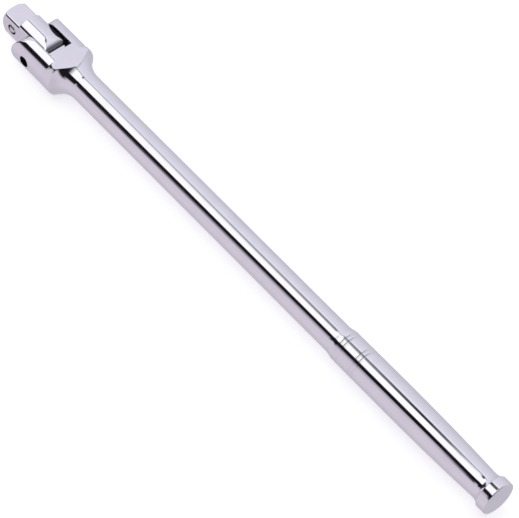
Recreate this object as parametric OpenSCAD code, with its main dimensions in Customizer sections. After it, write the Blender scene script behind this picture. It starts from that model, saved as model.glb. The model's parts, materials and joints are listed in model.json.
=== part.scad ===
// Flex-head breaker bar: a one-piece turned handle with a forked yoke, and a swivelling square drive
// head pinned between the yoke's ears. X runs along the bar from the drive's end face, Y is the pivot
// pin's axis and Z is normal to the yoke's two flats. Millimetres.

/* [Drive square] */
// Distance across the flats of the square drive
drive_across = 12.7; // [12.6:0.05:12.75]
// Length of the square, from its end face to the tongue's shoulder
drive_len = 12.7; // [12.5:0.1:14.5]
// Radius of the end face, where the corners' 45 degree cone starts
drive_end_r = 6.6; // [6.3:0.1:7.4]

/* [Detent ball] */
// Diameter of the detent ball
ball_d = 4.7; // [4:0.1:4.8]
// How far the ball stands out of the drive's flat
ball_proud = 0.8; // [0.5:0.1:1]
// Distance of the ball from the end face
ball_x = 7.4; // [6.8:0.1:8]

/* [Swivel tongue] */
// Distance of the pivot pin from the drive's end face
pivot_x = 26.8; // [26.5:0.1:27.5]
// Radius of the tongue, round the bar's axis and round the pivot
tongue_r = 9.8; // [9.4:0.1:9.9]

/* [Yoke] */
// Radius of the yoke round the bar's axis
yoke_r = 14.5; // [14:0.1:15]
// Thickness of the yoke across its two flats
yoke_flats = 20; // [19.8:0.1:20.2]
// Radius of the ears' ends round the pivot
ear_r = 10.1; // [10.1:0.1:10.6]
// Width of the slot between the ears
slot_w = 13; // [12.9:0.05:13.4]
// Gap between the tongue's round end and the slot's floor
floor_gap = 1.2; // [0.8:0.1:1.8]
// Rounding of the yoke's long edges beside the slot
yoke_edge_r = 8.5; // [7:0.1:9]
// Diameter of the pivot pin
pin_d = 6; // [5:0.1:6.5]
// How far the pin's ends lie below the yoke's surface
pin_recess = 1.9; // [1.2:0.1:2.2]

/* [Friction ball] */
// Diameter of the ball that presses on the tongue
friction_ball_d = 4.8; // [4:0.1:4.9]
// Depth of its bore below the slot's floor
friction_bore_len = 14; // [12:0.5:16]

/* [Handle] */
// Length of the whole tool
total_len = 356; // [340:1:380]
// Radius of the plain bar
bar_r = 7.9; // [7.6:0.05:8.3]
// Length of the grip, from its first ring groove to the end
grip_len = 105; // [95:0.1:110]
// Radius of the grip at its thickest
grip_r = 8.8; // [8.6:0.1:9]
// Radius of the neck before the end knob
neck_r = 7.65; // [7.3:0.05:7.9]
// Radius of the end knob
knob_r = 9.3; // [9:0.1:9.5]
// Width of each ring groove
groove_w = 0.8; // [0.5:0.1:1]
// Depth of each ring groove
groove_depth = 0.35; // [0.2:0.05:0.5]

/* [Springs] */
// Thickness of the springs' wire
wire_d = 0.6; // [0.4:0.1:0.7]

/* [Hidden] */
eps = 0.01;
far = 60;                                    // half the size of a cutting block, past every surface
round_fn = 96;
half_square = drive_across / 2;
ball_r = ball_d / 2;
ball_y = -(half_square + ball_proud - ball_r);   // the ball's centre at rest, on the -Y flat
ball_clearance = 0.05;                       // radial play of the detent ball in its bore
corner_r = half_square + 2.1;                // turning radius that just trims the square's long edges
ball_bore_end = 4;                           // where the ball's blind bore ends, past the middle
tongue_clearance = 0.05;                     // radial play of the tongue on its pin
slot_floor = pivot_x + tongue_r + floor_gap;
yoke_end = slot_floor + 7;                   // where the yoke's cylinder turns into the shoulder
shoulder_round = 2;                          // radius of the shoulder's convex edge
shoulder_fillet = 14;                        // radius of the fillet between shoulder and bar
shoulder_angle = 50;                         // slope of the shoulder's cone, from the bar's axis
friction_r = friction_ball_d / 2;
friction_play = 0.1;                         // gap between the friction ball and the tongue, and its bore
friction_x = pivot_x + tongue_r + friction_play + friction_r;
grip_x = total_len - grip_len;
groove_at = [0, 2.2, 11, 13.2];              // the grooves' places along the grip
barrel = 0.1;                                // how far the grip's sides belly out
knob_x = total_len - 5.4;                    // where the neck's flare meets the knob
neck_x = total_len - 11;                     // where the grip's taper ends
flare_r = 6.2;                               // radius of the flare from the neck to the knob
spring_inset = 0.55;                         // how far a spring's mean radius is less than its ball's
edge_r = 0.6;                                // rounding of the knob's rim and the tongue's shoulder
taper_start = 5.5;                           // where the grip's lead-in taper starts and ends,
taper_end = 1.3;                             // before the first groove
pin_chamfer = 0.5;                           // chamfer of the pivot pin's ends
ball_spring_turns = 4;
friction_spring_turns = 7;

// Points of an arc round [x, r] in the turning plane, from angle a to angle b
function arc(x, r, radius, a, b, n) =
    [for (i = [0 : n]) let (t = a + (b - a) * i / n) [x + radius * cos(t), r + radius * sin(t)]];

// Turns an outline of [x, r] points about the bar's axis
module turned(outline) {
    rotate([0, 90, 0]) rotate_extrude($fn = round_fn) polygon([for (p = outline) [p[1], p[0]]]);
}

// A round bar along Y, centred on the XZ plane
module cross_pin(x, r, length) {
    translate([x, 0, 0]) rotate([90, 0, 0]) cylinder(r = r, h = length, center = true, $fn = round_fn);
}

// Closed coil spring of round wire along +Z, swept as one polyhedron
module coil_spring(mean_r, length, turns) {
    per_turn = 14;
    sides = 6;
    rings = turns * per_turn;
    wire_r = wire_d / 2;
    pitch_len = length - wire_d;
    points = [for (i = [0 : rings]) let (t = 360 * i / per_turn, z = wire_r + pitch_len * i / rings)
              for (k = [0 : sides - 1]) let (u = 360 * k / sides, r = mean_r + wire_r * cos(u))
              [r * cos(t), r * sin(t), z + wire_r * sin(u)]];
    skin = [for (i = [0 : rings - 1]) for (k = [0 : sides - 1]) let (n = (k + 1) % sides)
            [i * sides + k, i * sides + n, (i + 1) * sides + n, (i + 1) * sides + k]];
    caps = [[for (k = [sides - 1 : -1 : 0]) k], [for (k = [0 : sides - 1]) rings * sides + k]];
    polyhedron(points, concat(skin, caps));
}

// Outline of the bar: yoke, rounded shoulder, fillet, plain bar, barrelled grip, neck and knob
module bar_outline_turned() {
    slope = tan(shoulder_angle);
    cone_x = yoke_end + shoulder_round * sin(shoulder_angle);
    cone_r = yoke_r - shoulder_round * (1 - cos(shoulder_angle));
    foot_r = bar_r + shoulder_fillet * (1 - cos(shoulder_angle));
    foot_x = cone_x + (cone_r - foot_r) / slope;
    fillet_x = foot_x + shoulder_fillet * sin(shoulder_angle);
    flare_angle = acos(1 - (knob_r - neck_r) / flare_r);
    turned(concat(
        [[pivot_x - far, 0], [pivot_x - far, yoke_r]],
        arc(yoke_end, yoke_r - shoulder_round, shoulder_round, 90, 90 - shoulder_angle, 6),
        arc(fillet_x, bar_r + shoulder_fillet, shoulder_fillet, 270 - shoulder_angle, 270, 8),
        [[grip_x - taper_start, bar_r], [grip_x - taper_end, grip_r - barrel]],
        [for (i = [0 : 12]) let (u = i / 12, x = grip_x + u * (neck_x - grip_x))
         [x, grip_r - barrel + barrel * sin(180 * min(1, u * 1.1)) - (grip_r - barrel - neck_r) * pow(u, 4)]],
        arc(knob_x - flare_r * sin(flare_angle), neck_r + flare_r, flare_r, 270, 270 + flare_angle, 6),
        arc(total_len - edge_r, knob_r - edge_r, edge_r, 90, 0, 5),
        [[total_len, 0]]));
}

// Side view of the whole bar in the XZ plane: flats all along, with the ears' ends round the pivot
module ear_outline() {
    intersection() {
        union() {
            translate([pivot_x, 0]) circle(r = ear_r, $fn = round_fn);
            translate([pivot_x, -far]) square([total_len, 2 * far]);
        }
        translate([0, -yoke_flats / 2]) square([total_len + far, yoke_flats]);
    }
}

// Prism along X whose faces touch the yoke's rounded long edges, between the disc and the flats
module yoke_edges() {
    corner_z = yoke_flats / 2 - yoke_edge_r;
    corner_y = sqrt(pow(yoke_r - yoke_edge_r, 2) - corner_z * corner_z);
    first = 24;                              // angles of the outermost faces' normals, and their step
    last = 84;
    step = 10;
    tip = yoke_edge_r / cos(step / 2);
    quarter = concat(
        [[corner_y + (yoke_edge_r + corner_z * sin(first)) / cos(first), 0]],
        [for (t = [first + step / 2 : step : last]) [corner_y + tip * cos(t), corner_z + tip * sin(t)]],
        [[0, corner_z + (yoke_edge_r + corner_y * cos(last)) / sin(last)]]);
    n = len(quarter);
    rotate([90, 0, 90]) translate([0, 0, pivot_x - far]) linear_extrude(height = total_len + far)
        polygon(concat(quarter, [for (i = [n - 2 : -1 : 0]) [-quarter[i][0], quarter[i][1]]],
                       [for (i = [1 : n - 1]) [-quarter[i][0], -quarter[i][1]]],
                       [for (i = [n - 2 : -1 : 1]) [quarter[i][0], -quarter[i][1]]]));
}

module ring_groove(x) {
    floor_r = grip_r - barrel - groove_depth;
    turned([[x - groove_w / 2, grip_r + 1], [x - groove_w / 2, floor_r],
            [x + groove_w / 2, floor_r], [x + groove_w / 2, grip_r + 1]]);
}

module bar_body() {
    color("silver") difference() {
        intersection() {
            bar_outline_turned();
            rotate([90, 0, 0]) linear_extrude(height = 2 * far, center = true) ear_outline();
            yoke_edges();
        }
        translate([slot_floor - far, -slot_w / 2, -far]) cube([far, slot_w, 2 * far]);
        cross_pin(pivot_x, pin_d / 2, 2 * far);
        translate([slot_floor - eps, 0, 0]) rotate([0, 90, 0])
            cylinder(r = friction_r + friction_play, h = friction_bore_len + eps, $fn = round_fn);
        for (dx = groove_at) ring_groove(grip_x + dx);
    }
}

// The square drive and its tongue, forged in one: a square with coned corners, then a round tongue
// with the square's side flats and an end rounded about the pivot
module swivel_head() {
    color("gainsboro") difference() {
        union() {
            intersection() {
                translate([0, -half_square, -half_square])
                    cube([drive_len + 1, drive_across, drive_across]);
                turned([[0, 0], [0, drive_end_r], [corner_r - drive_end_r, corner_r],
                        [drive_len + 1, corner_r], [drive_len + 1, 0]]);
            }
            intersection() {
                turned(concat([[drive_len, 0], [drive_len, tongue_r - edge_r]],
                              arc(drive_len + edge_r, tongue_r - edge_r, edge_r, 180, 90, 4),
                              [[far, tongue_r], [far, 0]]));
                translate([0, -half_square, -far]) cube([far, drive_across, 2 * far]);
                rotate([90, 0, 0]) linear_extrude(height = 2 * far, center = true) {
                    translate([pivot_x, 0]) circle(r = tongue_r, $fn = round_fn);
                    translate([0, -far]) square([pivot_x, 2 * far]);
                }
            }
        }
        cross_pin(pivot_x, pin_d / 2 + tongue_clearance, 2 * far);
        translate([ball_x, ball_bore_end, 0]) rotate([90, 0, 0])
            cylinder(r = ball_r + ball_clearance, h = far, $fn = round_fn);
    }
}

module pivot_pin() {
    pin_len = 2 * (yoke_r - pin_recess);
    color("dimgray") translate([pivot_x, 0, 0]) rotate([90, 0, 0]) rotate_extrude($fn = round_fn)
        polygon([[0, -pin_len / 2], [pin_d / 2 - pin_chamfer, -pin_len / 2],
                 [pin_d / 2, -pin_len / 2 + pin_chamfer], [pin_d / 2, pin_len / 2 - pin_chamfer],
                 [pin_d / 2 - pin_chamfer, pin_len / 2], [0, pin_len / 2]]);
}

module drive_ball() {
    color("lightgray") translate([ball_x, ball_y, 0]) sphere(r = ball_r, $fn = round_fn);
}

// Pushes the detent ball out; it stands on the floor of the ball's bore
module drive_ball_spring() {
    color("gray") translate([ball_x, ball_bore_end - eps, 0]) rotate([90, 0, 0])
        coil_spring(ball_r - spring_inset, ball_bore_end - ball_y - ball_r - eps, ball_spring_turns);
}

module friction_ball() {
    color("lightgray") translate([friction_x, 0, 0]) sphere(r = friction_r, $fn = round_fn);
}

module friction_spring() {
    bore_end = slot_floor + friction_bore_len;
    length = bore_end - friction_x - friction_r - 2 * eps;
    color("gray") translate([bore_end - eps, 0, 0]) rotate([0, -90, 0])
        coil_spring(friction_r - spring_inset, length, friction_spring_turns);
}

bar_body();
swivel_head();
pivot_pin();
drive_ball();
drive_ball_spring();
friction_ball();
friction_spring();
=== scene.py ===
"""Flex-head breaker bar in bright chrome: the looks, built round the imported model, in millimetres."""
import json
import math

import bmesh
import bpy
import numpy as np
from mathutils import Matrix, Vector


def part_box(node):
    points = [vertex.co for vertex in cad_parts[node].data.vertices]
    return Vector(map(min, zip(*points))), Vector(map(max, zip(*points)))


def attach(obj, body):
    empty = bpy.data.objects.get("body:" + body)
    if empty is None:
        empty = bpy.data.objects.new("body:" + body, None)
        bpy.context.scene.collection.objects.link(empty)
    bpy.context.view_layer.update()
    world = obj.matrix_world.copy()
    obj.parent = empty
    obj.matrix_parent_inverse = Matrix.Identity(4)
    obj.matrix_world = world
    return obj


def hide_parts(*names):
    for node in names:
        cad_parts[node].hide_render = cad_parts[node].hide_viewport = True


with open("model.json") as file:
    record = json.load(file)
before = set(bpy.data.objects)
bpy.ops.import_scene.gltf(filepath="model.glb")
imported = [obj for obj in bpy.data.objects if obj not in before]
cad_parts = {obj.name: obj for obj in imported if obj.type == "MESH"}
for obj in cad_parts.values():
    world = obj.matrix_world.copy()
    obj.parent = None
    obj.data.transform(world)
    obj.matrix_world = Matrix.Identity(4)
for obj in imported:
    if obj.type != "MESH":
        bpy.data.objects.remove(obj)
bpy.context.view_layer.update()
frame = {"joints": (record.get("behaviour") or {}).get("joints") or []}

# ---------------------------------------------------------------- sizes, from the frame
MM = 0.001


def node_box(node):
    """Lowest and highest corner of a CAD node, in millimetres."""
    low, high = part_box(node)
    return np.array(low) / MM, np.array(high) / MM


BAR_LOW, BAR_HIGH = node_box("bar_body")
HEAD_HIGH = node_box("swivel_head")[1]
PIN_LOW, PIN_HIGH = node_box("pivot_pin")
BALL_LOW, BALL_HIGH = node_box("drive_ball")
FRICTION_LOW, FRICTION_HIGH = node_box("friction_ball")

PIVOT_X = next(j for j in frame["joints"] if j["name"] == "head_flex")["pos_m"][0] / MM
BAR_END = BAR_HIGH[0]
YOKE_R = BAR_HIGH[1]
FLAT = BAR_HIGH[2]                       # height of the yoke's flats above the bar's axis
EAR_R = PIVOT_X - BAR_LOW[0]
HALF_SQUARE = HEAD_HIGH[1]
TONGUE_R = HEAD_HIGH[0] - PIVOT_X
PIN_R = (PIN_HIGH[0] - PIN_LOW[0]) / 2
BALL_R = (BALL_HIGH[0] - BALL_LOW[0]) / 2
BALL_CENTRE = (BALL_LOW + BALL_HIGH) / 2
FRICTION_R = (FRICTION_HIGH[0] - FRICTION_LOW[0]) / 2
FRICTION_CENTRE = (FRICTION_LOW + FRICTION_HIGH) / 2

SLOT_HALF = 6.5                          # half the width of the slot between the ears
FLOOR_GAP = 1.2                          # between the tongue's round end and the slot's floor
SLOT_FLOOR = HEAD_HIGH[0] + FLOOR_GAP
YOKE_END = SLOT_FLOOR + 7.0              # where the yoke's cylinder turns into the shoulder
EDGE_RUN_OUT = 3.5                       # past the slot's floor, where the edges begin to turn crisp
YOKE_EDGE_R, CRISP_R = 8.5, 0.5          # rounding of the yoke's long edges, by the slot and at their run-out
SHOULDER_ROUND, SHOULDER_FILLET = 2.0, 14.0
SHOULDER_SLOPE = math.radians(50)
BAR_R = 7.9
GRIP_LEN, GRIP_R, NECK_R, KNOB_R = 105.0, 8.8, 7.65, 9.3
GRIP_X = BAR_END - GRIP_LEN
GROOVES = GRIP_X + np.array([0, 2.2, 11, 13.2])
GROOVE_HALF, GROOVE_DEPTH = 0.55, 0.3
BARREL = 0.1                             # how far the grip's sides belly out
TAPER_AHEAD, TAPER_LEN = 5.8, 4.5        # the short taper's start ahead of the grip, and its length
NECK_LEN = 11.0                          # from where the grip is down to the neck's radius to the end
KNOB_LEN, FLARE_R, RIM_EDGE = 5.4, 6.2, 0.7
DRIVE_LEN = 12.7
CORNER_R = 8.4                           # turning radius that trims the square's long edges
DRIVE_END_R = 6.6                        # radius of the end face, where the corners' cone starts
BALL_BORE_END = 4.0                      # where the detent ball's blind bore ends, past the middle
FRICTION_BORE_LEN, FRICTION_PLAY = 14.0, 0.1
TONGUE_PLAY, BALL_PLAY = 0.05, 0.06      # radial play on the pin, and of the detent ball in its bore


# ---------------------------------------------------------------- surfaces
def rounded(a, b, radius):
    """Signed distance to where two solids overlap, with their common edge rounded:
    the longer of the two distances, or near the edge the length of both past the rounding's centre."""
    past = np.hypot(np.maximum(a + radius, 0), np.maximum(b + radius, 0))
    return np.minimum(np.maximum(a, b), -radius) + past


def draw_onto(points, distance, steps=10):
    """Moves each point down the slope of a signed distance until it lies on the surface (Newton's steps)."""
    reach = 1e-4
    for _ in range(steps):
        miss = distance(points)
        slope = np.stack([(distance(points + reach * e) - distance(points - reach * e)) / (2 * reach)
                          for e in np.eye(3)], axis=1)
        points = points - (miss / np.maximum((slope ** 2).sum(1), 0.05))[:, None] * slope
    return points


def grid_faces(rows, columns, wrap=False, first=0):
    """Quads of a grid of rows by columns, numbered from first; wrap joins the last column to the first."""
    across = columns if wrap else columns - 1
    r, c = np.meshgrid(np.arange(rows - 1), np.arange(across), indexing="ij")
    n = (c + 1) % columns
    here, above = r * columns, (r + 1) * columns
    quads = np.stack([here + c, here + n, above + n, above + c], axis=-1)
    return quads.reshape(-1, 4) + first


def closed_mesh(name, sheets):
    """One closed mesh out of sheets of points (rows, columns, 3) and whether each wraps round.
    Sheets meet where their points coincide; points that fall together are merged."""
    points = np.concatenate([sheet.reshape(-1, 3) for sheet, _ in sheets])
    starts = np.cumsum([0] + [sheet.shape[0] * sheet.shape[1] for sheet, _ in sheets])
    faces = np.concatenate([grid_faces(sheet.shape[0], sheet.shape[1], wrap, start)
                            for (sheet, wrap), start in zip(sheets, starts)])
    mesh = bpy.data.meshes.new(name)
    mesh.from_pydata((points * MM).tolist(), [], faces.tolist())
    work = bmesh.new()
    work.from_mesh(mesh)
    bmesh.ops.remove_doubles(work, verts=work.verts, dist=2e-7)
    bmesh.ops.dissolve_degenerate(work, edges=work.edges, dist=1e-8)
    bmesh.ops.recalc_face_normals(work, faces=work.faces)
    work.to_mesh(mesh)
    work.free()
    return mesh


def turned(stations, around=128):
    """Grid of a profile of (place along the axis, radius) turned about X."""
    turn = np.linspace(0, 2 * np.pi, around, endpoint=False)
    along, radius = np.asarray(stations, float).T
    return np.stack([np.repeat(along[:, None], around, 1), np.outer(radius, np.cos(turn)),
                     np.outer(radius, np.sin(turn))], axis=-1)


def arc(x, r, radius, start, end, steps):
    """Points of an arc round (x, r), from one angle to another in degrees, as (place, radius) rows."""
    t = np.radians(np.linspace(start, end, steps))
    return np.stack([x + radius * np.cos(t), r + radius * np.sin(t)], axis=1)


# ---------------------------------------------------------------- the bar
def bar_profile():
    """The bar's turned outline from the yoke to the end, as (place, radius) rows: cylinder, rounded
    shoulder, cone, fillet, plain bar, short taper, barrelled grip, neck, flare and rim."""
    slope = SHOULDER_SLOPE
    cone = (YOKE_END + SHOULDER_ROUND * math.sin(slope), YOKE_R - SHOULDER_ROUND * (1 - math.cos(slope)))
    foot_r = BAR_R + SHOULDER_FILLET * (1 - math.cos(slope))
    foot_x = cone[0] + (cone[1] - foot_r) / math.tan(slope)
    fillet_x = foot_x + SHOULDER_FILLET * math.sin(slope)
    steep = math.degrees(slope)
    shoulder = arc(YOKE_END, YOKE_R - SHOULDER_ROUND, SHOULDER_ROUND, 90, 90 - steep, 10)
    cone_line = np.linspace(cone, (foot_x, foot_r), 5)[1:-1]
    fillet = arc(fillet_x, BAR_R + SHOULDER_FILLET, SHOULDER_FILLET, 270 - steep, 270, 44)
    plain = np.concatenate([np.linspace(fillet_x + 0.5, fillet_x + 16, 36),
                            np.linspace(fillet_x + 20, GRIP_X - 6.5, 40)])
    plain = np.stack([plain, np.full(len(plain), BAR_R)], axis=1)
    u = np.linspace(0, 1, 9)
    taper_r = BAR_R + (GRIP_R - BARREL - BAR_R) * u * u * (3 - 2 * u)
    taper = np.stack([GRIP_X - TAPER_AHEAD + TAPER_LEN * u, taper_r], axis=1)
    neck_x = BAR_END - NECK_LEN
    near_groove = (GROOVES[:, None] + np.linspace(-1, 1, 13) * GROOVE_HALF).ravel()
    near_groove = near_groove[near_groove > GRIP_X - 1]
    along = np.unique(np.concatenate([np.linspace(GRIP_X, neck_x, 70), near_groove]))
    u = (along - GRIP_X) / (neck_x - GRIP_X)
    to_neck = (GRIP_R - BARREL - NECK_R) * np.clip(u, 0, 1) ** 4
    barrel = BARREL * np.sin(np.pi * np.clip(u * 1.1, 0, 1)) - to_neck
    off = np.abs(along[:, None] - GROOVES).min(1) / GROOVE_HALF
    cut = GROOVE_DEPTH * np.clip(1.35 * np.cos(np.pi / 2 * np.clip(off, 0, 1)), 0, 1)
    grip = np.stack([along, GRIP_R - BARREL + barrel - cut], axis=1)
    flare = math.acos(1 - (KNOB_R - NECK_R) / FLARE_R)
    knob_x = BAR_END - KNOB_LEN
    flare_arc = arc(knob_x - FLARE_R * math.sin(flare), NECK_R + FLARE_R, FLARE_R, 270,
                    270 + math.degrees(flare), 14)
    rim = arc(BAR_END - RIM_EDGE, KNOB_R - RIM_EDGE, RIM_EDGE, 90, 0, 9)
    face = np.stack([np.full(6, BAR_END), np.linspace(KNOB_R - RIM_EDGE, 0, 7)[1:]], axis=1)
    return np.concatenate([shoulder, cone_line, fillet, plain, taper, grip, flare_arc,
                           [[BAR_END - 2.5, KNOB_R]], rim, face])


NEAR_EDGE = np.array([0.04, 0.1, 0.18, 0.28, 0.42])   # distances from an edge that catch its rounding


def yoke_quarter(height):
    """Outline of the yoke's section in the quarter from +Y to +Z, for a flat at this height: the
    cylinder's arc up to the flat, then the flat in to the slot's edge. Rows of (y, z)."""
    edge = math.asin(FLAT / YOKE_R)
    share = np.concatenate([np.linspace(0, 0.9, 22), 1 - (NEAR_EDGE / 5)[::-1], [1]])
    turn = share * np.arcsin(np.minimum(height / YOKE_R, 1))
    arc_part = np.stack([YOKE_R * np.cos(turn), YOKE_R * np.sin(turn)], axis=1)
    reach = math.sqrt(YOKE_R ** 2 - height ** 2)
    span = YOKE_R * math.cos(edge) - SLOT_HALF
    share = 1 - np.concatenate([NEAR_EDGE * 2 / span, np.linspace(0.3, 0.8, 7),
                                1 - NEAR_EDGE[::-1] / span, [1]])
    flat_part = np.stack([SLOT_HALF + share * (reach - SLOT_HALF), np.full(len(share), height)], axis=1)
    return np.concatenate([arc_part, flat_part])


MIDDLE_Y = np.concatenate([SLOT_HALF - NEAR_EDGE, np.linspace(5.4, 0, 9)])


def yoke_distance(points):
    """Signed distance to the fork. Its section is a disc with two flats and rounded long edges: shrunk by
    the edges' radius it is a disc and two flats meeting at corners, and the surface lies that radius
    outside. The radius is full beside the slot and falls to a crisp edge on the shoulder. The ears' ends
    are round about the pivot, and the slot is taken out with crisp edges."""
    x, y, z = points.T
    run_out = SLOT_FLOOR + EDGE_RUN_OUT
    share = np.clip((x - run_out) / (YOKE_END - run_out), 0, 1)
    edge = YOKE_EDGE_R + (CRISP_R - YOKE_EDGE_R) * share * share * (3 - 2 * share)
    disc, flat = np.interp(x, *OUTLINE) - edge, FLAT - edge
    corner = np.sqrt(np.maximum(disc ** 2 - flat ** 2, 0))
    across, up = np.abs(y), np.abs(z)
    outer = np.where(across * flat >= up * corner, np.hypot(y, z) - disc,
                     np.where(across <= corner, up - flat, np.hypot(across - corner, up - flat))) - edge
    ears = np.where(x < PIVOT_X, np.hypot(x - PIVOT_X, z), up) - EAR_R
    slot = np.minimum(SLOT_FLOOR - x, SLOT_HALF - across)
    tip = 0.7 * np.clip((PIVOT_X - x) / 4, 0, 1)
    return rounded(rounded(outer, ears, tip), slot, 0.2)


PROFILE = bar_profile()
LEAD_IN = np.array([[0, YOKE_R], [YOKE_END - 0.01, YOKE_R]])
OUTLINE = np.concatenate([LEAD_IN, PROFILE[:60]]).T


def bar_mesh():
    """The one-piece bar: a tube of sections from the slot's floor to the end, two ears as half tubes
    with their inner walls, and the slot's floor, all drawn onto the rounded fork."""
    quarter = np.concatenate([yoke_quarter(FLAT), np.stack([MIDDLE_Y, np.full(len(MIDDLE_Y), FLAT)], axis=1)])
    turn0 = np.arctan2(quarter[:, 1], quarter[:, 0])
    lead = np.concatenate([[0], NEAR_EDGE, np.linspace(0.7, 3.2, 6),
                           np.linspace(3.5, YOKE_END - SLOT_FLOOR - 0.1, 22)])
    lead += SLOT_FLOOR
    stations = np.concatenate([np.stack([lead, np.full(len(lead), YOKE_R)], axis=1), PROFILE])
    edge0 = math.asin(FLAT / YOKE_R)
    last_edge = math.radians(85)
    edge = np.arcsin(np.minimum(FLAT / np.maximum(stations[:, 1], FLAT), math.sin(last_edge)))
    past = np.clip((stations[:, 0] - YOKE_END - 7) / 21, 0, 1)
    edge = edge + (edge0 - edge) * past * past * (3 - 2 * past)
    turn = np.where(turn0 <= edge0, turn0 * edge[:, None] / edge0,
                    np.pi / 2 - (np.pi / 2 - turn0) * (np.pi / 2 - edge[:, None]) / (np.pi / 2 - edge0))
    turn = np.concatenate([turn[:, :-1], np.pi - turn[:, :0:-1], np.pi + turn[:, :-1],
                           2 * np.pi - turn[:, :0:-1]], axis=1)
    radius = np.minimum(stations[:, 1:2], FLAT / np.maximum(np.abs(np.sin(turn)), 1e-9))
    tube = np.stack([np.broadcast_to(stations[:, :1], turn.shape), radius * np.cos(turn),
                     radius * np.sin(turn)], axis=-1)

    tip_turn = math.asin(FLAT / EAR_R)
    tip = np.radians(np.concatenate([np.linspace(0, 12, 9), np.linspace(15, math.degrees(tip_turn), 20)]))
    straight = np.linspace(PIVOT_X - EAR_R * math.cos(tip_turn), SLOT_FLOOR - 0.6, 30)[1:]
    ear_x = np.concatenate([PIVOT_X - EAR_R * np.cos(tip), straight,
                            SLOT_FLOOR - NEAR_EDGE[::-1], [SLOT_FLOOR]])
    height = np.concatenate([EAR_R * np.sin(tip), np.full(len(ear_x) - len(tip), FLAT)])
    outer = np.stack([yoke_quarter(h) for h in height])
    outer = np.concatenate([outer[:, ::-1] * [1, -1], outer[:, 1:]], axis=1)
    outer = np.concatenate([np.broadcast_to(ear_x[:, None, None], (*outer.shape[:2], 1)), outer], axis=2)
    up = np.concatenate([[1], 1 - NEAR_EDGE / FLAT, np.linspace(0.9, -0.9, 15),
                         NEAR_EDGE[::-1] / FLAT - 1, [-1]])
    inner = np.stack([np.broadcast_to(ear_x[:, None], (len(ear_x), len(up))),
                      np.full((len(ear_x), len(up)), SLOT_HALF), height[:, None] * up], axis=-1)
    across = np.concatenate([[SLOT_HALF], MIDDLE_Y[:-1], -MIDDLE_Y[::-1], [-SLOT_HALF]])
    rows, columns = np.meshgrid(up * FLAT, across, indexing="ij")
    floor = np.stack([np.full(rows.shape, SLOT_FLOOR), columns, rows], axis=-1)

    other_side = np.array([1, -1, 1])
    sheets = [(tube, True), (outer, False), (inner, False), (outer * other_side, False),
              (inner * other_side, False), (floor, False)]
    drawn = []
    for sheet, wrap in sheets:
        flat = sheet.reshape(-1, 3).copy()
        near = flat[:, 0] < YOKE_END + 8
        flat[near] = draw_onto(flat[near], yoke_distance)
        drawn.append((flat.reshape(sheet.shape), wrap))
    return closed_mesh("bar_forging", drawn)


# ---------------------------------------------------------------- the swivel head
def head_distance(points):
    """Signed distance to the head: the trimmed square with its coned end, joined to the tongue, which is
    round about the bar's axis, flat at its sides and, past the pivot, also round about the pin."""
    x, y, z = points.T
    side = np.abs(y) - HALF_SQUARE
    around = np.hypot(y, z)
    square = rounded(side, np.abs(z) - HALF_SQUARE, 0.1)
    square = rounded(square, around - CORNER_R, 0.12)
    cone = (around - DRIVE_END_R - x) / math.sqrt(2)
    square = rounded(rounded(square, cone, 0.5), -x, 0.4)
    end = np.hypot(np.maximum(x - PIVOT_X, 0), z) - TONGUE_R
    tongue = rounded(around - TONGUE_R, end, 0.35 * np.clip((x - PIVOT_X) / 2, 0, 1))
    tongue = rounded(rounded(side, tongue, 0.3), DRIVE_LEN - x, 0.5)
    return np.minimum(square, tongue)


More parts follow.
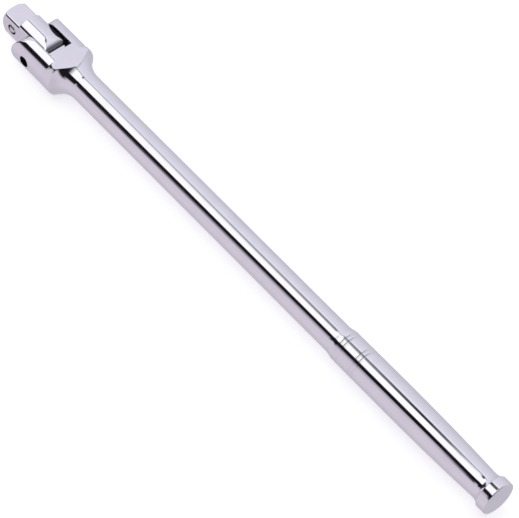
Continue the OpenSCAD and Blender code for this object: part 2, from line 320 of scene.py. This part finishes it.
def head_mesh():
    """The head as sections along X, each a height over the width: side walls up to the height at the
    side flat, then the top as the lowest of its limits. Past the pivot the rows' places match the
    columns', so that the crossing of the two round surfaces runs through corners of the grid."""
    inward = np.concatenate([[0, 0.06, 0.14, 0.24, 0.36], np.linspace(0.6, HALF_SQUARE, 22)])
    width = HALF_SQUARE - inward
    foot = np.concatenate([np.linspace(0.02, 2.6, 20), np.linspace(3, DRIVE_LEN - 0.7, 22),
                           DRIVE_LEN - NEAR_EDGE[::-1], [DRIVE_LEN]])
    back = DRIVE_LEN + np.concatenate([NEAR_EDGE, np.linspace(0.6, PIVOT_X - DRIVE_LEN, 24)[:-1]])
    last = TONGUE_R * np.sin(np.radians(np.linspace(math.degrees(math.asin(HALF_SQUARE / TONGUE_R)), 90, 26)))
    end = PIVOT_X + np.concatenate([width[::-1], last[1:]])

    def square_height(x):
        """Height of the square's half section: flat, or under the turned trim of its corners."""
        limit = np.minimum(DRIVE_END_R + x, CORNER_R)[:, None]
        return np.minimum(HALF_SQUARE, np.sqrt(limit ** 2 - width ** 2))

    def tongue_height(x):
        """Height of the tongue's half section: the lower of its rounding about the bar and about the pin."""
        past = np.maximum(x - PIVOT_X, 0)[:, None]
        limit = np.maximum(np.broadcast_to(past, (len(x), len(width))), width)
        return np.sqrt(np.maximum(TONGUE_R ** 2 - limit ** 2, 0))

    rise = np.linspace(0, 1, 16)[1:, None]
    step = square_height(foot[-1:]) * (1 - rise) + tongue_height(foot[-1:]) * rise
    tail = np.concatenate([back, end])
    along = np.concatenate([foot, np.full(len(rise), DRIVE_LEN), tail])
    height = np.concatenate([square_height(foot), step, tongue_height(tail)])
    up = np.array([0, 0.2, 0.4, 0.58, 0.73, 0.84, 0.91, 0.96])
    wall = np.stack([np.full((len(along), len(up)), HALF_SQUARE), height[:, :1] * up], axis=-1)
    top = np.stack([np.broadcast_to(width, height.shape), height], axis=-1)
    quarter = np.concatenate([wall, top], axis=1)
    ring = np.concatenate([quarter[:, :-1], quarter[:, :0:-1] * [-1, 1], quarter[:, :-1] * [-1, -1],
                           quarter[:, :0:-1] * [1, -1]], axis=1)
    body = np.concatenate([np.broadcast_to(along[:, None, None], (*ring.shape[:2], 1)), ring], axis=2)
    flat = draw_onto(body.reshape(-1, 3), head_distance).reshape(body.shape)
    ring = flat[0]
    centre = np.array([ring[:, 0].min(), 0, 0])
    share = np.linspace(0, 1, 9)[:-1, None, None]
    face = centre + (ring - centre) * share
    return closed_mesh("head_forging", [(np.concatenate([face, flat]), True)])


# ---------------------------------------------------------------- small turned pieces
def placed(grid, axis, origin):
    """A grid turned about X, swung so that its axis lies along Y or X, and moved to its origin."""
    if axis == "Y":
        grid = grid[..., [1, 0, 2]]
    return grid + np.asarray(origin, float)


def pin_mesh():
    """Pivot pin: a turned rod with chamfered, slightly dished ends."""
    half = (PIN_HIGH[1] - PIN_LOW[1]) / 2
    end = [(0.25, 0), (0.2, 0.5), (0.06, 1.2), (0, 1.8), (0.02, PIN_R - 0.6), (0.1, PIN_R - 0.42),
           (0.45, PIN_R - 0.06), (0.6, PIN_R)]
    stations = [(-half + d, r) for d, r in end] + [(half - d, r) for d, r in end[::-1]]
    return closed_mesh("pin", [(placed(turned(stations, 96), "Y", (PIVOT_X, 0, 0)), True)])


def ball_mesh(name, radius, centre):
    """A bearing ball: half circle turned about its axis."""
    turn = np.linspace(0, np.pi, 41)
    stations = np.stack([-radius * np.cos(turn), radius * np.sin(turn)], axis=1)
    return closed_mesh(name, [(placed(turned(stations, 72), "X", centre), True)])


def spring_mesh(name, node, along, turns, spare=0.0):
    """Coil spring as a round wire swept round a helix whose end turns lie flat, inside its node's box.
    Its lower end stops short of the box by spare."""
    low, high = node_box(node)
    centre, size = (low + high) / 2, high - low
    wire = 0.3
    others = [k for k in range(3) if k != along]
    mean = size[others].min() / 2 - wire
    t = np.linspace(0, 1, turns * 28 + 1)
    flat = np.clip((t * turns - 0.75) / (turns - 1.5), 0, 1)
    spot = np.zeros((len(t), 3))
    spot[:, others[0]] = mean * np.cos(2 * np.pi * turns * t)
    spot[:, others[1]] = mean * np.sin(2 * np.pi * turns * t)
    spot[:, along] = (flat - 0.5) * (size[along] - 2.3 * wire - spare) + spare / 2
    outward = spot.copy()
    outward[:, along] = 0
    outward /= mean
    way = np.gradient(spot, axis=0)
    way /= np.linalg.norm(way, axis=1)[:, None]
    side = np.cross(way, outward)
    u = np.linspace(0, 2 * np.pi, 12, endpoint=False)
    ring = np.cos(u)[:, None] * outward[:, None] + np.sin(u)[:, None] * side[:, None]
    scale = np.concatenate([[0], np.full(len(t) - 2, wire), [0]])[:, None, None]
    return closed_mesh(name, [(spot[:, None] + ring * scale + centre, True)])


def carve(piece, *cutters):
    """Cuts closed cutter meshes out of a piece, and keeps the result as the piece's own mesh."""
    for cutter in cutters:
        tool = bpy.data.objects.new("cutter", cutter)
        bpy.context.scene.collection.objects.link(tool)
        cut = piece.modifiers.new("cut", "BOOLEAN")
        cut.operation, cut.solver, cut.object = "DIFFERENCE", "EXACT", tool
        cut_mesh = bpy.data.meshes.new_from_object(piece.evaluated_get(bpy.context.evaluated_depsgraph_get()))
        piece.modifiers.remove(cut)
        piece.data = cut_mesh
        bpy.data.objects.remove(tool)


# ---------------------------------------------------------------- materials
def linear(colour):
    """sRGB hex to linear RGBA."""
    parts = [int(colour[i:i + 2], 16) / 255 for i in (1, 3, 5)]
    return [p / 12.92 if p <= 0.04045 else ((p + 0.055) / 1.055) ** 2.4 for p in parts] + [1.0]


def add(tree, kind, settings=None, links=None):
    """Adds a node: settings name its properties or input sockets, links join its inputs to outputs."""
    node = tree.nodes.new(kind)
    for key, value in (settings or {}).items():
        if isinstance(key, str) and hasattr(node, key):
            setattr(node, key, value)
        else:
            node.inputs[key].default_value = value
    for key, output in (links or {}).items():
        tree.links.new(output, node.inputs[key])
    return node


def metal(name, colour, dark, roughness, spread, ripple, grain, line_mm=(0.35, 6.0, 6.0)):
    """A bare or plated metal. The colour drifts towards dark in soft patches of about 9 mm, the roughness
    drifts by spread, and two bumps ride on it: ripple, the plating's slow waviness, and grain, the fine
    polishing lines whose spacing along X, Y and Z is line_mm."""
    material = bpy.data.materials.new(name)
    material.use_nodes = True
    tree = material.node_tree
    shader = tree.nodes["Principled BSDF"]
    shader.inputs["Metallic"].default_value = 1.0
    place = add(tree, "ShaderNodeTexCoord")
    patches = add(tree, "ShaderNodeTexNoise", {"Scale": 110.0, "Detail": 3.0},
                  {"Vector": place.outputs["Object"]})
    tint = add(tree, "ShaderNodeMix", {"data_type": "RGBA"}, {"Factor": patches.outputs["Fac"]})
    tint.inputs["A"].default_value = linear(colour)
    tint.inputs["B"].default_value = linear(dark)
    smear = add(tree, "ShaderNodeMapRange", {"From Min": 0.3, "From Max": 0.7, "To Min": roughness,
                                             "To Max": roughness + spread}, {"Value": patches.outputs["Fac"]})
    lines_at = add(tree, "ShaderNodeMapping", {"Scale": [1 / (s * MM) for s in line_mm]},
                   {"Vector": place.outputs["Object"]})
    lines = add(tree, "ShaderNodeTexNoise", {"Scale": 1.0, "Detail": 2.0},
                {"Vector": lines_at.outputs["Vector"]})
    waves = add(tree, "ShaderNodeTexNoise", {"Scale": 160.0, "Detail": 1.0},
                {"Vector": place.outputs["Object"]})
    slow = add(tree, "ShaderNodeBump", {"Strength": 1.0, "Distance": ripple * MM},
               {"Height": waves.outputs["Fac"]})
    fine = add(tree, "ShaderNodeBump", {"Strength": 1.0, "Distance": grain * MM},
               {"Height": lines.outputs["Fac"], "Normal": slow.outputs["Normal"]})
    tree.links.new(tint.outputs["Result"], shader.inputs["Base Color"])
    tree.links.new(smear.outputs["Result"], shader.inputs["Roughness"])
    tree.links.new(fine.outputs["Normal"], shader.inputs["Normal"])
    return material


# Bright chrome over polished steel: a cool mirror with faint polishing lines round the bar
CHROME = metal("bright_chrome_plate", "#ECEBF0", "#E2E1E8", 0.055, 0.05, 0.012, 0.0008)
# Chrome is thin and dull where it can't reach, as in the slot: a greyer, satin metal. It is made far darker
# than such plating to paint the shade in the slot, the bores and the ball's seat.
THIN_CHROME_PAINTED_SHADE = metal("thin_chrome_and_painted_shade_in_recess", "#4C4A50", "#38363C", 0.3, 0.15, 0.01, 0.002)
# Hardened pin, left dark from the furnace and turned on its ends
PIN_STEEL = metal("dark_hardened_pin_steel", "#4A474C", "#2F2D31", 0.32, 0.15, 0.004, 0.004, (0.3, 0.3, 0.3))
# Ground and lapped bearing steel
BALL_STEEL = metal("lapped_bearing_steel", "#D9D8DA", "#C9C8CC", 0.06, 0.04, 0.0, 0.0004, (0.4, 0.4, 0.4))
# Drawn spring wire with a film of oil
SPRING_STEEL = metal("oiled_spring_wire", "#6F6B68", "#4C4845", 0.28, 0.12, 0.0, 0.002, (0.5, 0.5, 0.5))


# ---------------------------------------------------------------- pieces
def piece_of(mesh, body, slot, node, *materials):
    """A finished object with its materials, riding on its body in place of its CAD node."""
    piece = bpy.data.objects.new(mesh.name, mesh)
    bpy.context.scene.collection.objects.link(piece)
    for material in materials:
        mesh.materials.append(material)
    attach(piece, body)
    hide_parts(node)
    return piece


def shade(piece, angle=32):
    """Smooth shading with edges past an angle kept sharp, and normals weighted by face area."""
    piece.data.shade_smooth()
    piece.data.set_sharp_from_angle(angle=math.radians(angle))
    weighted = piece.modifiers.new("weighted_normals", "WEIGHTED_NORMAL")
    weighted.keep_sharp = True


def flared_cutter(radius, depth, flare, lead):
    """Profile of a drill along its axis from deep inside (place 0) to past the surface at depth, where it
    flares at 45 degrees over the last flare millimetres and on for lead."""
    return [(0, 0), (0, radius), (depth - flare, radius), (depth + lead, radius + flare + lead),
            (depth + lead, 0)]


def make_bar():
    """The bar with the pin's holes, flared at their mouths, and the friction ball's bore. The slot's walls,
    its floor and the bores take the dark thin chrome, which paints shade into them."""
    bar = piece_of(bar_mesh(), "bar", "chrome_plate", "bar_body", CHROME, THIN_CHROME_PAINTED_SHADE)
    reach, mouth = YOKE_R + 1, 0.25
    drill = flared_cutter(PIN_R, YOKE_R, mouth, 1.0)
    both_ways = [(-p, r) for p, r in drill[:1:-1]] + drill[2:]
    pin_hole = closed_mesh("pin_hole", [(placed(turned(both_ways, 96), "Y", (PIVOT_X, 0, 0)), True)])
    bore_r, bore_end = FRICTION_R + FRICTION_PLAY, SLOT_FLOOR + FRICTION_BORE_LEN
    bore = [(bore_end, 0), (bore_end, bore_r), (SLOT_FLOOR - 1, bore_r), (SLOT_FLOOR - 1, 0)]
    carve(bar, pin_hole, closed_mesh("friction_bore", [(turned(bore, 64), True)]))
    centres = np.array([face.center for face in bar.data.polygons]) / MM
    facing = np.array([face.normal for face in bar.data.polygons])
    inside = (centres[:, 0] < SLOT_FLOOR + 0.02) & (np.abs(centres[:, 1]) < SLOT_HALF + 0.02)
    inside &= facing[:, 1] * np.sign(centres[:, 1]) < -0.5
    floor = (np.abs(centres[:, 0] - SLOT_FLOOR) < 0.02) & (facing[:, 0] < -0.5)
    bores = np.hypot(centres[:, 0] - PIVOT_X, centres[:, 2]) < PIN_R + 0.05
    # slot walls, slot floor and bores get the dark material: painted shade over duller plating
    bar.data.polygons.foreach_set("material_index", (inside | floor | bores).astype(np.int32))
    shade(bar)
    return bar


def make_head():
    """The head with the pin's hole and the detent ball's flared seat, both in the dark thin chrome that
    paints shade into them.
    """
    head = piece_of(head_mesh(), "head", "chrome_plate", "swivel_head", CHROME, THIN_CHROME_PAINTED_SHADE)
    hole_r = PIN_R + TONGUE_PLAY
    through = [(-9, 0), (-9, hole_r), (9, hole_r), (9, 0)]
    pin_hole = closed_mesh("tongue_hole", [(placed(turned(through, 96), "Y", (PIVOT_X, 0, 0)), True)])
    depth = HALF_SQUARE + BALL_BORE_END
    seat = [(BALL_BORE_END - p, r) for p, r in flared_cutter(BALL_R + BALL_PLAY, depth, 0.45, 0.6)]
    ball_hole = closed_mesh("ball_seat", [(placed(turned(seat, 72), "Y", (BALL_CENTRE[0], 0, 0)), True)])
    carve(head, pin_hole, ball_hole)
    centres = np.array([face.center for face in head.data.polygons]) / MM
    in_hole = np.hypot(centres[:, 0] - PIVOT_X, centres[:, 2]) < PIN_R + 0.1
    in_seat = np.hypot(centres[:, 0] - BALL_CENTRE[0], centres[:, 2]) < BALL_R + 0.6
    in_seat &= np.abs(centres[:, 1]) < HALF_SQUARE - 0.005
    # the pin hole and the seat with its flare get the dark material: painted shade, which gives the seat its
    # dark ring
    head.data.polygons.foreach_set("material_index", (in_hole | in_seat).astype(np.int32))
    shade(head)
    return head


make_bar()
make_head()
shade(piece_of(pin_mesh(), "bar", "pin_steel", "pivot_pin", PIN_STEEL))
shade(piece_of(ball_mesh("detent_ball", BALL_R, BALL_CENTRE), "ball", "ball_steel", "drive_ball", BALL_STEEL))
shade(piece_of(ball_mesh("drag_ball", FRICTION_R, FRICTION_CENTRE), "bar", "ball_steel", "friction_ball",
               BALL_STEEL))
shade(piece_of(spring_mesh("detent_spring", "drive_ball_spring", 1, 4, 0.4), "head", "spring_steel",
               "drive_ball_spring", SPRING_STEEL))
shade(piece_of(spring_mesh("drag_spring", "friction_spring", 0, 7), "bar", "spring_steel", "friction_spring",
               SPRING_STEEL))


# ---------------------------------------------------------------- stage, light and camera
def make_floor():
    """A pale matt floor under the tool. Mirrors don't see it, so that the metal shows the studio alone."""
    half = 4.0
    mesh = bpy.data.meshes.new("floor")
    corners = [(-half, -half), (half, -half), (half, half), (-half, half)]
    mesh.from_pydata([(x, y, -FLAT * MM) for x, y in corners], [], [(0, 1, 2, 3)])
    floor = bpy.data.objects.new("floor", mesh)
    bpy.context.scene.collection.objects.link(floor)
    floor.visible_glossy = False
    material = bpy.data.materials.new("pale_floor")
    material.use_nodes = True
    shader = material.node_tree.nodes["Principled BSDF"]
    shader.inputs["Base Color"].default_value = linear("#F4F4F6")
    shader.inputs["Roughness"].default_value = 1.0
    shader.inputs["Specular IOR Level"].default_value = 0.0
    shader.inputs["Emission Color"].default_value = linear("#FFFFFF")
    shader.inputs["Emission Strength"].default_value = 0.55
    mesh.materials.append(material)


# Panels of the studio as (angle, colour): the angle goes round the X axis from straight up (0) towards -Y
# (to +180) and towards +Y (to -180). There are four sets: for directions that the bar mirrors near its head,
# those that it mirrors near its handle, the camera's side (+X) and the far end (-X).
HEAD_PANELS = [(-180, "#B9B4BD"), (-115, "#BEBCC4"), (-90, "#C8C6CE"), (-50, "#D6D4DF"), (-28, "#D9D6E1"),
               (-18, "#EDECF2"), (-15.5, "#A5A4AC"), (-11, "#A5A4AC"), (-8, "#FFFFFF"), (36, "#FFFFFF"),
               (38.5, "#0E0C12"), (66, "#1A171D"), (71, "#B4AEB8"), (80, "#CDC6D0"), (120, "#D0C9D3"),
               (180, "#B9B4BD")]
HANDLE_PANELS = [(-180, "#B9B4BD"), (-115, "#BEBCC4"), (-90, "#C8C6CE"), (-50, "#D6D4DF"), (-28, "#DDDBE4"),
                 (-17, "#F0EFF4"), (-14, "#35343A"), (0, "#35343A"), (2.5, "#FFFFFF"), (34.5, "#FFFFFF"),
                 (37, "#0E0C12"), (56, "#171419"), (60, "#B4AEB8"), (76, "#CDC6D0"), (120, "#D0C9D3"),
                 (180, "#B9B4BD")]
FRONT_PANELS = [(-180, "#B9B4BD"), (-90, "#C8C6CE"), (-68, "#A9A7AE"), (-48, "#5E5C64"), (-10, "#4A484E"),
                (32, "#1A171D"), (78, "#1A171D"), (92, "#CDC6D0"), (180, "#B9B4BD")]
END_PANELS = [(-180, "#B9B4BD"), (-40, "#D6D4DF"), (-5, "#E4E3EA"), (6, "#2A282E"), (75, "#2A282E"),
              (95, "#C8C2CC"), (180, "#B9B4BD")]


def panel_ramp(tree, share, panels):
    """Colour ramp of panels over the angle's share of the full turn."""
    ramp = add(tree, "ShaderNodeValToRGB", {}, {"Fac": share})
    stops = ramp.color_ramp.elements
    while len(stops) < len(panels):
        stops.new(0.5)
    for stop, (degrees, colour) in zip(stops, panels):
        stop.position = (degrees + 180) / 360
    for stop, (degrees, colour) in zip(stops, panels):
        stop.color = linear(colour)
    return ramp.outputs["Color"]


def blend(tree, value, start, end, first, second):
    """Mix of two colours, from the first to the second as the value goes from start to end."""
    share = add(tree, "ShaderNodeMapRange", {"From Min": start, "From Max": end}, {"Value": value})
    mix = add(tree, "ShaderNodeMix", {"data_type": "RGBA"},
              {"Factor": share.outputs["Result"], "A": first, "B": second})
    return mix.outputs["Result"]


def make_studio():
    """A studio of long soft panels beside the bar. Along X they change from the handle's part over the
    head's to the far end; towards the camera's side (+X) it is dim above."""
    world = bpy.data.worlds.new("studio")
    bpy.context.scene.world = world
    world.use_nodes = True
    tree = world.node_tree
    way = add(tree, "ShaderNodeTexCoord")
    parts = add(tree, "ShaderNodeSeparateXYZ", {}, {"Vector": way.outputs["Generated"]})
    minus_y = add(tree, "ShaderNodeMath", {"operation": "MULTIPLY", 1: -1.0}, {0: parts.outputs["Y"]})
    angle = add(tree, "ShaderNodeMath", {"operation": "ARCTAN2"},
                {0: minus_y.outputs[0], 1: parts.outputs["Z"]})
    share = add(tree, "ShaderNodeMapRange", {"From Min": -math.pi, "From Max": math.pi},
                {"Value": angle.outputs[0]})
    head, handle, far_end, front = [panel_ramp(tree, share.outputs["Result"], panels)
                                    for panels in (HEAD_PANELS, HANDLE_PANELS, END_PANELS, FRONT_PANELS)]
    colour = blend(tree, parts.outputs["X"], -0.47, -0.34, head, handle)
    colour = blend(tree, parts.outputs["X"], -0.3, -0.24, colour, head)
    colour = blend(tree, parts.outputs["X"], -0.74, -0.86, colour, far_end)
    colour = blend(tree, parts.outputs["X"], 0.3, 0.6, colour, front)
    background = tree.nodes["Background"]
    tree.links.new(colour, background.inputs["Color"])
    background.inputs["Strength"].default_value = 1.22


def make_camera():
    """A long lens from beyond the handle's end, above and to the -Y side, rolled so that the bar runs
    from the upper left to the lower right."""
    tilt, turn, roll = 0.415, 0.491, math.radians(45 - 0.065)
    distance, lens = 1.6542, 241.58844
    along = Vector((math.cos(tilt), math.sin(tilt) * math.sin(turn), -math.sin(tilt) * math.cos(turn)))
    down = Vector((0, -math.cos(turn), -math.sin(turn)))
    ahead = Vector((-math.sin(tilt), math.cos(tilt) * math.sin(turn), -math.cos(tilt) * math.cos(turn)))
    right = along * math.cos(roll) - down * math.sin(roll)
    up = -(along * math.sin(roll) + down * math.cos(roll))
    aim = Vector((0.1716, 0, 0)) + along * 0.01488 - down * 0.00057
    data = bpy.data.cameras.new("camera")
    data.sensor_width = 36
    data.lens = lens
    data.clip_end = 20
    camera = bpy.data.objects.new("camera", data)
    bpy.context.scene.collection.objects.link(camera)
    facing = Matrix((right, up, -ahead)).transposed().to_4x4()
    camera.matrix_world = Matrix.Translation(aim - ahead * distance) @ facing
    bpy.context.scene.camera = camera


make_floor()
make_studio()
make_camera()
bpy.context.scene.view_settings.view_transform = "Standard"
